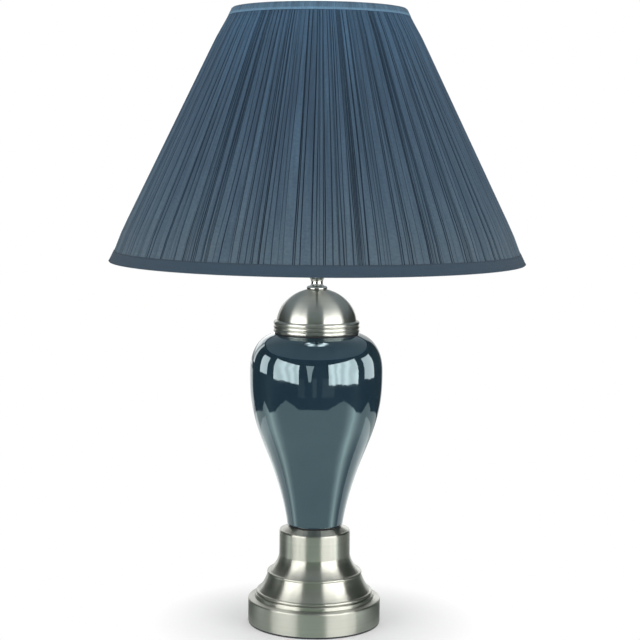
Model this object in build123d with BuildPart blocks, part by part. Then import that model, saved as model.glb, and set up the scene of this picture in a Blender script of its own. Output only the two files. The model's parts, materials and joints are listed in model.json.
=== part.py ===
from build123d import *
import os
from math import acos, cos, degrees, pi, radians, sin

# Table lamp with a pleated empire shade on a ceramic vase body.
# Millimetres, +Z up. The lamp stands on z = 0 with its axis along Z. Its front faces -Y,
# the harp's legs stand left and right of the bulb, and the cord leaves the base towards +Y.

os.makedirs("parts", exist_ok=True)

STANDING = (Align.CENTER, Align.CENTER, Align.MIN)

# Whole lamp: 27 in from the floor to the finial's tip
LAMP_HEIGHT = 685.8

# Shade: an empire cone, 18 in across the bottom
SHADE_TOP_R = 95.0
SHADE_BOTTOM_R = 228.6
SHADE_TOP_Z = 680.0
SHADE_BOTTOM_Z = 405.0
TAPE_T = 0.8
TOP_TAPE_H = 8.5
BOTTOM_TAPE_H = 12.0
INNER_TAPE_H = 7.5
PLEATS = 180
RIDGE_INSET = 0.9
VALLEY_INSET = 2.9
COVER_FULLNESS = 2.4
COVER_EASE_H = 30.0
LINER_INSET = 3.5
LINER_T = 1.0
RING_WIRE_R = 1.7
SPOKE_WIRE_R = 1.5
SPOKES = 3
SPOKE_BEND_R = 8.0
SPIDER_WASHER_R = 14.0
SPIDER_WASHER_T = 1.8
SPIDER_HOLE_R = 3.6

# Base: a spun drum with two flares and a collar, closed below by a felted board
FELT_R = 73.4
FELT_T = 2.0
BOARD_T = 2.5
DRUM_R = 74.0
DRUM_TOP_Z = 28.0
DRUM_EDGE_R = 1.8
SHELL_T = 1.2
LEDGE_R = 67.0
STEP_TOP_Z = 33.1
FLARE_R = 62.5
FLARE_Z = 36.6
WAIST_R = 52.2
WAIST_Z = 55.8
COLLAR_R = 39.5
COLLAR_Z = 77.0
COLLAR_EDGE_R = 2.2
BASE_TOP_Z = 105.5
BASE_SEAT_R = 30.5
BASE_SEAT_Z = 109.2
WEIGHT_R = 70.0
WEIGHT_T = 10.0

# Cord outlet at the back of the drum
CORD_Z = 9.6
CORD_BORE_R = 3.2
BUSHING_R = 4.5
BUSHING_FLANGE_R = 5.4
BUSHING_FLANGE_T = 1.8
BUSHING_LIP_T = 2.2

# Threaded lamp pipe, its nut and its washer
ROD_R = 5.1
ROD_BORE_R = 3.8
ROD_HOLE_R = 5.4
THREAD_CLEARANCE = 0.05
ROD_BOTTOM_Z = 8.0
ROD_WASHER_R = 16.0
ROD_WASHER_T = 1.6
NUT_FLATS = 15.9
ROD_NUT_T = 4.8

# Vase
VASE_GASKET_R = 28.5
VASE_Z = 111.0
VASE_FOOT_R = 31.2
VASE_FOOT_EDGE = 2.2
VASE_MAX_R = 73.7
VASE_MAX_Z = 279.0
VASE_WALL = 5.0
VASE_FLOOR_T = 8.0
SEAT_R = 48.2
SEAT_Z = 325.5
VASE_RIM_R = 36.0
VASE_MOUTH_R = 29.0
VASE_RIM_Z = 331.0

# Domed cap with three beads
CAP_GASKET_T = 1.2
BEADS = 3
BEAD_PITCH = 4.35
BEAD_R = 47.5
BEAD_GROOVE_R = 46.2
DOME_LIP_R = 45.0
DOME_R = 44.2
DOME_RISE = 38.5
DOME_CENTRE_Z = 337.0
DOME_PAD_R = 13.0
DOME_START = 5.0

# Spool neck
NECK_H = 19.0
NECK_RING_R = 11.3
NECK_WAIST_R = 6.4

# Harp saddle, harp and stud
SADDLE_T = 1.6
SADDLE_W = 8.0
SADDLE_DISC_R = 13.0
SADDLE_BEND_R = 6.0
SADDLE_ARM_H = 22.0
TONGUE_W = 4.6
TONGUE_H = 9.0
SADDLE_NUT_T = 3.0
LEG_X = 30.0
HARP_WIRE_R = 2.0
LEG_STRAIGHT = 27.6
BOW_R = 95.0
BOW_ANGLE = 30.0
SHOULDER_R = 22.0
STUD_BLOCK_X = 14.0
STUD_BLOCK_Y = 11.0
STUD_BLOCK_H = 9.0
STUD_R = 3.17
STUD_TOP_Z = 677.0
STUD_SEAT_Z = 661.5
SLEEVE_BORE_R = 3.3
SLEEVE_R = 4.5
SLEEVE_H = 18.0
PLAY = 0.3

# Finial
FINIAL_FOOT_R = 6.8
FINIAL_NECK_R = 4.7
KNOB_R = 7.9

# Lamp holder
HOLDER_CAP_H = 18.0
HOLDER_CAP_R = 17.4
HOLDER_HUB_R = 7.6
HOLDER_WALL = 0.7
HOLDER_SHELL_R = 16.6
HOLDER_SHELL_T = 0.5
HOLDER_SHELL_LOW = 13.0
HOLDER_H = 58.0
HOLDER_MOUTH_R = 14.2
HOLDER_SLEEVE_T = 0.5
CORE_R = 15.3
CORE_NECK_R = 11.0
CORE_LOW = 5.5
CORE_TOP = 30.0
SCREW_SHELL_R = 13.9
SCREW_SHELL_T = 0.4
SCREW_SHELL_H = 25.0
KEY_HEIGHT = 23.0
KEY_SHAFT_R = 2.0
KEY_HOLE_R = 2.8
KEY_CLEARANCE = 0.05
KEY_SHAFT_START = 8.0
KEY_KNOB_START = 31.0
KEY_KNOB_LENGTH = 15.0
KEY_KNOB_WIDTH = 15.0
KEY_KNOB_T = 5.6

# Bulb, a frosted pear shape on a medium screw cap
BULB_CONTACT_R = 4.8
BULB_CONTACT_T = 1.3
BULB_INSULATOR_H = 4.2
BULB_CAP_R = 13.1
BULB_CAP_T = 0.6
BULB_CAP_H = 21.3
BULB_R = 24.0
BULB_GLASS_T = 1.0
BULB_H = 92.0

# Heights that follow from the driving dimensions
weight_top_z = DRUM_TOP_Z - SHELL_T
weight_z = weight_top_z - WEIGHT_T
rod_washer_z = weight_z - ROD_WASHER_T
rod_nut_z = rod_washer_z - ROD_NUT_T
dome_z = SEAT_Z + CAP_GASKET_T
dome_end = acos(DOME_PAD_R / DOME_R)
dome_sweep = degrees(dome_end) - DOME_START
neck_z = DOME_CENTRE_Z + DOME_RISE * sin(dome_end)
saddle_z = neck_z + NECK_H
saddle_nut_z = saddle_z + SADDLE_T
shoulder_z = saddle_z + SADDLE_ARM_H
tongue_top_z = shoulder_z + TONGUE_H
holder_z = saddle_nut_z + SADDLE_NUT_T
rod_top_z = holder_z + CORE_LOW - 1.0
key_z = holder_z + KEY_HEIGHT
contact_z = holder_z + CORE_TOP
bulb_z = contact_z + 3.6
harp_z = STUD_SEAT_Z - STUD_BLOCK_H / 2
spider_z = STUD_SEAT_Z + PLAY
finial_z = spider_z + SPIDER_WASHER_T + PLAY
knob_neck_z = LAMP_HEIGHT - KNOB_R - (KNOB_R**2 - (FINIAL_NECK_R + 0.3) ** 2) ** 0.5


def section_plane(height):
    """Upright plane through the axis, with its own origin at a height."""
    return Plane(origin=(0, 0, height), x_dir=(1, 0, 0), z_dir=(0, -1, 0))


def shade_radius(height, inset=0.0):
    """Radius of the shade's cone at a height, less a radial inset."""
    share = (SHADE_TOP_Z - height) / (SHADE_TOP_Z - SHADE_BOTTOM_Z)
    return SHADE_TOP_R + share * (SHADE_BOTTOM_R - SHADE_TOP_R) - inset


def pleat_outline(height, fullness):
    """Zigzag of the pleated cloth at a height, ridge and valley in turn, puffed out by its fullness."""
    insets = (RIDGE_INSET - fullness, VALLEY_INSET - fullness)
    corners = []
    for index in range(2 * PLEATS):
        radius = shade_radius(height, insets[index % 2])
        angle = pi * index / PLEATS
        corners.append((radius * cos(angle), radius * sin(angle)))
    return corners


def liner_outline(height):
    """Polygon that stands just outside the liner's cone at a height, one side to each half pleat."""
    radius = shade_radius(height, LINER_INSET) / cos(pi / (2 * PLEATS))
    return [
        (radius * cos(pi * index / PLEATS), radius * sin(pi * index / PLEATS)) for index in range(2 * PLEATS)
    ]


def cone_band(low, high, outer_inset, inner_inset):
    """Section of a conical layer of the shade between two heights."""
    return [
        (shade_radius(low, outer_inset), low),
        (shade_radius(high, outer_inset), high),
        (shade_radius(high, inner_inset), high),
        (shade_radius(low, inner_inset), low),
    ]


def tape_section(edge, hem, inner_hem, inner_radius):
    """Section of a tape folded over the shade's edge, from its outer to its inner hem."""
    fold = edge + (TAPE_T if hem > edge else -TAPE_T)
    return [
        (shade_radius(hem), hem),
        (shade_radius(edge), edge),
        (inner_radius, edge),
        (inner_radius, inner_hem),
        (inner_radius + TAPE_T, inner_hem),
        (inner_radius + TAPE_T, fold),
        (shade_radius(fold, TAPE_T), fold),
        (shade_radius(hem, TAPE_T), hem),
    ]


# Base: felt pad and fibre board
with BuildPart() as felt_pad:
    Cylinder(FELT_R, FELT_T, align=STANDING)

with BuildPart(Plane.XY.offset(FELT_T)) as base_board:
    Cylinder(DRUM_R - SHELL_T - 0.2, BOARD_T, align=STANDING)

# Base: spun shell with a drum, a beaded ledge, two flares and a collar
with BuildPart() as base_shell:
    with BuildSketch(Plane.XZ):
        with BuildLine():
            drum = Line((DRUM_R, FELT_T), (DRUM_R, DRUM_TOP_Z - DRUM_EDGE_R))
            drum_edge = TangentArc(drum @ 1, (DRUM_R - DRUM_EDGE_R, DRUM_TOP_Z), tangent=drum % 1)
            ledge = Line(drum_edge @ 1, (LEDGE_R, DRUM_TOP_Z + 1))
            riser = Line(ledge @ 1, (LEDGE_R - 0.5, STEP_TOP_Z - 1))
            step = TangentArc(riser @ 1, (LEDGE_R - 1.7, STEP_TOP_Z), tangent=riser % 1)
            shelf = Line(step @ 1, (FLARE_R + 1.5, STEP_TOP_Z))
            ledge_bead = ThreePointArc(
                shelf @ 1, (FLARE_R + 2.5, STEP_TOP_Z + 1.8), (FLARE_R + 0.9, FLARE_Z - 0.2)
            )
            ledge_groove = Line(ledge_bead @ 1, (FLARE_R, FLARE_Z))
            lower_flare = ThreePointArc(
                ledge_groove @ 1, (WAIST_R + 3.6, WAIST_Z - 9.3), (WAIST_R, WAIST_Z)
            )
            waist_bead = ThreePointArc(
                lower_flare @ 1, (WAIST_R + 0.8, WAIST_Z + 1.5), (WAIST_R - 0.6, WAIST_Z + 2.8)
            )
            waist_groove = Line(waist_bead @ 1, (WAIST_R - 1.6, WAIST_Z + 3))
            upper_flare = ThreePointArc(
                waist_groove @ 1, (COLLAR_R + 4.7, COLLAR_Z - 11.5), (COLLAR_R, COLLAR_Z)
            )
            collar = Line(upper_flare @ 1, (COLLAR_R, BASE_TOP_Z - COLLAR_EDGE_R))
            collar_edge = TangentArc(
                collar @ 1, (COLLAR_R - COLLAR_EDGE_R, BASE_TOP_Z), tangent=collar % 1
            )
            inner_top = Polyline(
                collar_edge @ 1,
                (BASE_SEAT_R, BASE_SEAT_Z),
                (ROD_HOLE_R, BASE_SEAT_Z),
                (ROD_HOLE_R, BASE_SEAT_Z - SHELL_T),
                (BASE_SEAT_R - 0.4, BASE_SEAT_Z - SHELL_T),
                (COLLAR_R - SHELL_T, BASE_TOP_Z - SHELL_T),
                (COLLAR_R - SHELL_T, COLLAR_Z),
            )
            inner_upper = ThreePointArc(
                inner_top @ 1, (COLLAR_R + 3.5, COLLAR_Z - 11.9), (WAIST_R - 1.9, WAIST_Z + 1.5)
            )
            inner_waist = Line(inner_upper @ 1, (WAIST_R - SHELL_T, WAIST_Z))
            inner_lower = ThreePointArc(
                inner_waist @ 1, (WAIST_R + 2.5, WAIST_Z - 9.8), (FLARE_R - SHELL_T, FLARE_Z - 0.4)
            )
            Polyline(
                inner_lower @ 1,
                (FLARE_R - SHELL_T, STEP_TOP_Z - SHELL_T),
                (LEDGE_R - 1.8, STEP_TOP_Z - SHELL_T - 0.2),
                (LEDGE_R - 1.7, weight_top_z),
                (DRUM_R - SHELL_T, weight_top_z),
                (DRUM_R - SHELL_T, FELT_T),
                drum @ 0,
            )
        make_face()
    revolve(axis=Axis.Z)
    with BuildSketch(Plane(origin=(0, 0, CORD_Z), z_dir=(0, 1, 0))):
        Circle(BUSHING_R + 0.1)
    extrude(amount=DRUM_R + 1, mode=Mode.SUBTRACT)

# Base: cast weight, washer and nut that clamp the stack from below
with BuildPart(Plane.XY.offset(weight_z)) as base_weight:
    Cylinder(WEIGHT_R, WEIGHT_T, align=STANDING)
    Cylinder(ROD_HOLE_R, WEIGHT_T, align=STANDING, mode=Mode.SUBTRACT)
    chamfer(base_weight.edges().filter_by(GeomType.CIRCLE).sort_by(SortBy.RADIUS)[-2:], 1.0)

with BuildPart(Plane.XY.offset(rod_washer_z)) as rod_washer:
    Cylinder(ROD_WASHER_R, ROD_WASHER_T, align=STANDING)
    Cylinder(ROD_HOLE_R, ROD_WASHER_T, align=STANDING, mode=Mode.SUBTRACT)

with BuildPart() as rod_nut:
    with BuildSketch(Plane.XY.offset(rod_nut_z)):
        RegularPolygon(NUT_FLATS / 2, 6, major_radius=False)
        Circle(ROD_R + THREAD_CLEARANCE, mode=Mode.SUBTRACT)
    extrude(amount=ROD_NUT_T)

# Base: bushing that the cord leaves by, with a flange outside and a lip inside the wall
with BuildPart() as cord_bushing:
    with BuildSketch(Plane(origin=(0, DRUM_R - SHELL_T - BUSHING_LIP_T - 0.3, CORD_Z), z_dir=(0, 1, 0))):
        Circle(BUSHING_R + 0.6)
    extrude(amount=BUSHING_LIP_T)
    with BuildSketch(Plane(origin=(0, DRUM_R - SHELL_T - BUSHING_LIP_T, CORD_Z), z_dir=(0, 1, 0))):
        Circle(BUSHING_R)
    extrude(amount=SHELL_T + BUSHING_LIP_T)
    with BuildSketch(Plane(origin=(0, DRUM_R, CORD_Z), z_dir=(0, 1, 0))):
        Circle(BUSHING_FLANGE_R)
    extrude(amount=BUSHING_FLANGE_T)
    fillet(cord_bushing.edges().filter_by(GeomType.CIRCLE).sort_by(Axis.Y)[-1], 0.8)
    with BuildSketch(Plane(origin=(0, 0, CORD_Z), z_dir=(0, 1, 0))):
        Circle(CORD_BORE_R)
    extrude(amount=2 * DRUM_R, mode=Mode.SUBTRACT)

# Pipe that runs from the base to the lamp holder
with BuildPart(Plane.XY.offset(ROD_BOTTOM_Z)) as rod:
    Cylinder(ROD_R, rod_top_z - ROD_BOTTOM_Z, align=STANDING)
    Cylinder(ROD_BORE_R, rod_top_z - ROD_BOTTOM_Z, align=STANDING, mode=Mode.SUBTRACT)

# Vase: gasket below its foot, hollow ceramic body, gasket on its shoulder
with BuildPart(Plane.XY.offset(BASE_SEAT_Z)) as vase_gasket:
    Cylinder(VASE_GASKET_R, VASE_Z - BASE_SEAT_Z, align=STANDING)
    Cylinder(ROD_HOLE_R, VASE_Z - BASE_SEAT_Z, align=STANDING, mode=Mode.SUBTRACT)

with BuildPart() as vase:
    with BuildSketch(Plane.XZ):
        with BuildLine():
            foot = Line((ROD_HOLE_R + 1, VASE_Z), (VASE_FOOT_R - VASE_FOOT_EDGE, VASE_Z))
            foot_edge = TangentArc(
                foot @ 1, (VASE_FOOT_R, VASE_Z + VASE_FOOT_EDGE), tangent=foot % 1
            )
            body = Spline(
                foot_edge @ 1,
                (37.0, 141.0),
                (49.9, 181.5),
                (63.9, 218.0),
                (72.0, 251.0),
                (VASE_MAX_R, VASE_MAX_Z),
                (70.2, 304.7),
                (60.0, 319.2),
                (SEAT_R, SEAT_Z),
                tangents=[(0.15, 1.0), (-1.0, 0.38)],
            )
            rim = Polyline(
                body @ 1,
                (VASE_RIM_R, SEAT_Z),
                (VASE_RIM_R, VASE_RIM_Z),
                (VASE_MOUTH_R, VASE_RIM_Z),
                (VASE_MOUTH_R, SEAT_Z - VASE_WALL),
                (SEAT_R - VASE_WALL, SEAT_Z - VASE_WALL),
            )
            inside = Spline(
                rim @ 1,
                (65.4, 303.0),
                (VASE_MAX_R - VASE_WALL, VASE_MAX_Z),
                (67.2, 252.5),
                (59.2, 220.5),
                (45.2, 183.5),
                (32.0, 142.5),
                (25.0, VASE_Z + VASE_FLOOR_T),
            )
            Polyline(inside @ 1, (ROD_HOLE_R + 1, VASE_Z + VASE_FLOOR_T), foot @ 0)
        make_face()
    revolve(axis=Axis.Z)
    fillet(vase.edges().filter_by(GeomType.CIRCLE).group_by(Axis.Z)[-1], 2.0)

with BuildPart(Plane.XY.offset(SEAT_Z)) as cap_gasket:
    Cylinder(BEAD_GROOVE_R, CAP_GASKET_T, align=STANDING)
    Cylinder(VASE_RIM_R + 4, CAP_GASKET_T, align=STANDING, mode=Mode.SUBTRACT)

# Domed cap: three rolled beads below an elliptical dome
with BuildPart() as dome_cap:
    with BuildSketch(Plane.XZ):
        with BuildLine():
            lip = Line((DOME_LIP_R, dome_z), (BEAD_GROOVE_R, dome_z))
            bead_end = lip @ 1
            for bead in range(BEADS):
                bead_z = dome_z + bead * BEAD_PITCH
                bead_arc = ThreePointArc(
                    bead_end,
                    (BEAD_R, bead_z + BEAD_PITCH / 2),
                    (BEAD_GROOVE_R, bead_z + BEAD_PITCH),
                )
                bead_end = bead_arc @ 1
            dome = EllipticalCenterArc(
                (0, DOME_CENTRE_Z), DOME_R, DOME_RISE, start_angle=DOME_START, arc_size=dome_sweep
            )
            Line(bead_end, dome @ 0)
            pad = Polyline(
                dome @ 1,
                (ROD_HOLE_R, (dome @ 1).Y),
                (ROD_HOLE_R, (dome @ 1).Y - SHELL_T),
                (DOME_PAD_R - 1, (dome @ 1).Y - SHELL_T),
            )
            dome_inside = EllipticalCenterArc(
                (0, DOME_CENTRE_Z),
                DOME_R - SHELL_T,
                DOME_RISE - SHELL_T,
                start_angle=DOME_START - 2,
                arc_size=dome_sweep,
            )
            Line(pad @ 1, dome_inside @ 1)
            Polyline(dome_inside @ 0, (DOME_LIP_R, dome_z + BEADS * BEAD_PITCH - 1), lip @ 0)
        make_face()
    revolve(axis=Axis.Z)

# Spool neck between the dome and the lamp holder
with BuildPart() as neck:
    with BuildSketch(section_plane(neck_z)):
        with BuildLine():
            neck_foot = Line((ROD_R + THREAD_CLEARANCE, 0), (NECK_RING_R - 1, 0))
            foot_ring = ThreePointArc(neck_foot @ 1, (NECK_RING_R, 2.1), (NECK_RING_R - 1, 4.2))
            ring_top = Line(foot_ring @ 1, (NECK_RING_R - 2.4, 4.5))
            cove = ThreePointArc(ring_top @ 1, (NECK_WAIST_R + 0.5, 5.6), (NECK_WAIST_R, 7.6))
            waist = Line(cove @ 1, (NECK_WAIST_R, 9.4))
            bell = ThreePointArc(waist @ 1, (NECK_WAIST_R + 1.3, 12.4), (NECK_RING_R - 1, 14.8))
            top_ring_edge = ThreePointArc(bell @ 1, (NECK_RING_R, 16.8), (NECK_RING_R - 1, NECK_H))
            Polyline(
                top_ring_edge @ 1,
                (ROD_R + THREAD_CLEARANCE, NECK_H),
                neck_foot @ 0,
            )
        make_face()
    revolve(axis=Axis.Z)

# Harp saddle: a bent strip with a tongue at each end, and the nut that holds it down
with BuildPart() as harp_saddle:
    arm_x = LEG_X - SADDLE_T / 2 - 0.2
    with BuildSketch(Plane.XZ):
        with BuildLine():
            FilletPolyline(
                (-arm_x, shoulder_z),
                (-arm_x, saddle_z + SADDLE_T / 2),
                (arm_x, saddle_z + SADDLE_T / 2),
                (arm_x, shoulder_z),
                radius=SADDLE_BEND_R,
            )
        trace(line_width=SADDLE_T)
    extrude(amount=SADDLE_W / 2, both=True)
    with Locations((-arm_x, 0, shoulder_z), (arm_x, 0, shoulder_z)):
        Box(SADDLE_T, TONGUE_W, TONGUE_H, align=STANDING)
    with Locations((0, 0, saddle_z)):
        Cylinder(SADDLE_DISC_R, SADDLE_T, align=STANDING)
        Cylinder(ROD_HOLE_R, SADDLE_T, align=STANDING, mode=Mode.SUBTRACT)

with BuildPart() as saddle_nut:
    with BuildSketch(Plane.XY.offset(saddle_nut_z)):
        RegularPolygon(NUT_FLATS / 2, 6, major_radius=False)
        Circle(ROD_R + THREAD_CLEARANCE, mode=Mode.SUBTRACT)
    extrude(amount=SADDLE_NUT_T)

# Lamp holder: screwed cap, shell, paper sleeve, core, screw shell and contact
with BuildPart() as holder_cap:
    with BuildSketch(section_plane(holder_z)):
        with BuildLine():
            hub = Polyline(
                (ROD_R + THREAD_CLEARANCE, 0), (HOLDER_HUB_R, 0), (HOLDER_HUB_R, CORE_LOW - 1)
            )
            bowl = ThreePointArc(hub @ 1, (HOLDER_CAP_R - 3, 7.0), (HOLDER_CAP_R, 12.0))
            bowl_lip = Polyline(
                bowl @ 1,
                (HOLDER_CAP_R, HOLDER_CAP_H),
                (HOLDER_CAP_R - HOLDER_WALL, HOLDER_CAP_H),
                (HOLDER_CAP_R - HOLDER_WALL, 12.4),
            )
            bowl_inside = ThreePointArc(
                bowl_lip @ 1, (HOLDER_CAP_R - 3.6, 7.9), (HOLDER_HUB_R - HOLDER_WALL, CORE_LOW)
            )
            Polyline(bowl_inside @ 1, (ROD_R + THREAD_CLEARANCE, CORE_LOW), hub @ 0)
        make_face()
    revolve(axis=Axis.Z)
    with BuildSketch(Plane(origin=(0, 0, holder_z + 2.2), z_dir=(1, 0, 0))):
        Circle(1.55)
    extrude(amount=HOLDER_HUB_R + 1, mode=Mode.SUBTRACT)

with BuildPart() as set_screw:
    with BuildSketch(Plane(origin=(ROD_R + THREAD_CLEARANCE, 0, holder_z + 2.2), z_dir=(1, 0, 0))):
        Circle(1.5)
    extrude(amount=5.0)
    with BuildSketch(Plane(origin=(ROD_R + 5.0, 0, holder_z + 2.2), z_dir=(1, 0, 0))):
        Circle(2.0)
    extrude(amount=2.0)
    with BuildSketch(Plane(origin=(ROD_R + 6.2, 0, holder_z + 2.2), z_dir=(1, 0, 0))):
        Rectangle(0.7, 5.0)
    extrude(amount=2.0, mode=Mode.SUBTRACT)

with BuildPart() as holder_shell:
    with BuildSketch(section_plane(holder_z)):
        with BuildLine():
            Polyline(
                (HOLDER_SHELL_R, HOLDER_SHELL_LOW),
                (HOLDER_SHELL_R, HOLDER_H - 1.5),
                (HOLDER_SHELL_R - 1.5, HOLDER_H),
                (HOLDER_MOUTH_R, HOLDER_H),
                (HOLDER_MOUTH_R, HOLDER_H - HOLDER_SHELL_T),
                (HOLDER_SHELL_R - 1.7, HOLDER_H - HOLDER_SHELL_T),
                (HOLDER_SHELL_R - HOLDER_SHELL_T, HOLDER_H - 1.7),
                (HOLDER_SHELL_R - HOLDER_SHELL_T, HOLDER_SHELL_LOW),
                close=True,
            )
        make_face()
    revolve(axis=Axis.Z)
    with BuildSketch(Plane(origin=(0, 0, key_z), z_dir=(0, -1, 0))):
        Circle(KEY_HOLE_R)
    extrude(amount=HOLDER_SHELL_R + 1, mode=Mode.SUBTRACT)

with BuildPart(Plane.XY.offset(holder_z + HOLDER_SHELL_LOW)) as holder_sleeve:
    sleeve_r = HOLDER_SHELL_R - HOLDER_SHELL_T
    sleeve_h = HOLDER_H - HOLDER_SHELL_LOW - 2.0
    Cylinder(sleeve_r, sleeve_h, align=STANDING)
    Cylinder(sleeve_r - HOLDER_SLEEVE_T, sleeve_h, align=STANDING, mode=Mode.SUBTRACT)
    with BuildSketch(Plane(origin=(0, 0, key_z), z_dir=(0, -1, 0))):
        Circle(KEY_HOLE_R)
    extrude(amount=HOLDER_SHELL_R + 1, mode=Mode.SUBTRACT)

with BuildPart() as holder_core:
    with Locations((0, 0, holder_z + CORE_LOW)):
        Cylinder(HOLDER_HUB_R - 1.2, 3.0, align=STANDING)
    with Locations((0, 0, holder_z + CORE_LOW + 2.5)):
        Cylinder(CORE_NECK_R, 7.0, align=STANDING)
    with Locations((0, 0, holder_z + 14.0)):
        Cylinder(CORE_R, CORE_TOP - 14.0, align=STANDING)
    with BuildSketch(Plane(origin=(0, -KEY_SHAFT_START, key_z), z_dir=(0, -1, 0))):
        Circle(KEY_SHAFT_R + KEY_CLEARANCE)
    extrude(amount=CORE_R, mode=Mode.SUBTRACT)

with BuildPart() as terminal_screws:
    for side in (-1, 1):
        with BuildSketch(Plane(origin=(side * CORE_NECK_R, 0, holder_z + 10.6), z_dir=(side, 0, 0))):
            Circle(2.4)
        extrude(amount=1.6)
    for side in (-1, 1):
        with BuildSketch(Plane(origin=(side * (CORE_NECK_R + 1), 0, holder_z + 10.6), z_dir=(side, 0, 0))):
            Rectangle(0.6, 6.0)
        extrude(amount=1.6, mode=Mode.SUBTRACT)

with BuildPart(Plane.XY.offset(contact_z)) as screw_shell:
    Cylinder(SCREW_SHELL_R, SCREW_SHELL_H, align=STANDING)
    with Locations((0, 0, SCREW_SHELL_T)):
        Cylinder(SCREW_SHELL_R - SCREW_SHELL_T, SCREW_SHELL_H, align=STANDING, mode=Mode.SUBTRACT)
    Cylinder(9.0, SCREW_SHELL_H, align=STANDING, mode=Mode.SUBTRACT)

with BuildPart() as centre_contact:
    with BuildSketch(section_plane(contact_z)):
        with BuildLine():
            Polyline(
                (-8.0, 0), (-3.6, 0), (1.0, 2.7), (4.0, 2.7), (4.0, 3.3), (0.8, 3.3), (-3.8, 0.6), (-8.0, 0.6),
                close=True,
            )
        make_face()
    extrude(amount=3.0, both=True)

# Turn key of the switch, on a shaft that runs into the core
with BuildPart() as switch_key:
    with BuildSketch(Plane(origin=(0, -KEY_SHAFT_START - 0.3, key_z), z_dir=(0, -1, 0))):
        Circle(KEY_SHAFT_R)
    extrude(amount=KEY_KNOB_START - KEY_SHAFT_START + 3)
    with BuildSketch(Plane(origin=(0, -KEY_KNOB_START + 3, key_z), z_dir=(0, -1, 0))):
        Circle(3.8)
    extrude(amount=5.0)
    with BuildSketch(Plane(origin=(0, -KEY_KNOB_START, key_z), z_dir=(0, -1, 0))):
        SlotOverall(KEY_KNOB_WIDTH, KEY_KNOB_T)
    extrude(amount=KEY_KNOB_LENGTH)
    fillet(switch_key.faces().sort_by(Axis.Y)[0].edges(), 1.6)

# Harp: a wire loop in two mirrored halves, through a block that carries the shade's stud
bow = radians(BOW_ANGLE)
bow_top_z = tongue_top_z + 0.4 + LEG_STRAIGHT + 2 * BOW_R * sin(bow)
arch_r = (harp_z - bow_top_z - SHOULDER_R * (1 - sin(bow))) / sin(bow)

with BuildPart() as harp_wire:
    with BuildLine(Plane.XZ) as leg_path:
        leg = Line((LEG_X, tongue_top_z + 0.4), (LEG_X, tongue_top_z + 0.4 + LEG_STRAIGHT))
        outward = JernArc(leg @ 1, leg % 1, BOW_R, -BOW_ANGLE)
        upright = JernArc(outward @ 1, outward % 1, BOW_R, BOW_ANGLE)
        inward = JernArc(upright @ 1, upright % 1, arch_r, BOW_ANGLE)
        shoulder = JernArc(inward @ 1, inward % 1, SHOULDER_R, 90 - BOW_ANGLE)
        Line(shoulder @ 1, (0, harp_z))
    with BuildSketch(Plane.XY.offset(tongue_top_z + 0.4)):
        with Locations((LEG_X, 0)):
            Circle(HARP_WIRE_R)
    sweep(path=leg_path.wires()[0])
    with Locations((LEG_X - 0.05, 0, shoulder_z + 0.4)):
        Box(1.7, TONGUE_W, TONGUE_H + 2, align=(Align.MIN, Align.CENTER, Align.MIN))
    mirror(about=Plane.YZ)

with BuildPart() as harp_stud:
    with Locations((0, 0, harp_z)):
        Box(STUD_BLOCK_X, STUD_BLOCK_Y, STUD_BLOCK_H)
    fillet(harp_stud.edges().filter_by(Axis.Z), 1.5)
    with Locations((0, 0, harp_z)):
        Cylinder(HARP_WIRE_R + 0.03, STUD_BLOCK_X, rotation=(0, 90, 0), mode=Mode.SUBTRACT)
    with Locations((0, 0, STUD_SEAT_Z)):
        Cylinder(STUD_R, STUD_TOP_Z - STUD_SEAT_Z, align=STANDING)
    chamfer(harp_stud.edges().filter_by(GeomType.CIRCLE).sort_by(Axis.Z)[-1], 0.6)

# Sleeves that lock the harp's feet to the saddle's tongues
with BuildPart(Plane.XY.offset(shoulder_z + PLAY)) as harp_sleeve_right:
    with Locations((LEG_X, 0)):
        Cylinder(SLEEVE_R, SLEEVE_H, align=STANDING)
    fillet(harp_sleeve_right.edges().filter_by(GeomType.CIRCLE), 0.5)
    with Locations((LEG_X, 0)):
        Cylinder(SLEEVE_BORE_R, SLEEVE_H, align=STANDING, mode=Mode.SUBTRACT)

with BuildPart() as harp_sleeve_left:
    mirror(harp_sleeve_right.part, about=Plane.YZ)

# Shade frame: washer, dropped spokes and top ring welded together, and a bottom ring
top_ring_z = SHADE_TOP_Z - TAPE_T - 2 * RING_WIRE_R
top_ring_r = shade_radius(top_ring_z, LINER_INSET + LINER_T + 1.2 * RING_WIRE_R)
bottom_ring_z = SHADE_BOTTOM_Z + TAPE_T + 2 * RING_WIRE_R
bottom_ring_r = shade_radius(bottom_ring_z, LINER_INSET + LINER_T + 1.2 * RING_WIRE_R)

with BuildPart() as spider:
    spoke_z = spider_z + SPIDER_WASHER_T / 2
    with Locations((0, 0, spider_z)):
        Cylinder(SPIDER_WASHER_R, SPIDER_WASHER_T, align=STANDING)
    for spoke in range(SPOKES):
        spoke_plane = Plane.XZ.rotated((0, 0, 90 + spoke * 360 / SPOKES))
        with BuildLine(spoke_plane) as spoke_path:
            FilletPolyline(
                (SPIDER_WASHER_R - 3, spoke_z),
                (top_ring_r, spoke_z),
                (top_ring_r, top_ring_z),
                radius=SPOKE_BEND_R,
            )
        with BuildSketch(Plane(origin=spoke_path.line @ 0, z_dir=spoke_path.line % 0)):
            Circle(SPOKE_WIRE_R)
        sweep(path=spoke_path.wires()[0])
    with Locations((0, 0, top_ring_z)):
        Torus(top_ring_r, RING_WIRE_R)
    with Locations((0, 0, spider_z - 1)):
        Cylinder(SPIDER_HOLE_R, 2 * SPIDER_WASHER_T + 2, align=STANDING, mode=Mode.SUBTRACT)

with BuildPart(Plane.XY.offset(bottom_ring_z)) as bottom_ring:
    Torus(bottom_ring_r, RING_WIRE_R)

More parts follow.
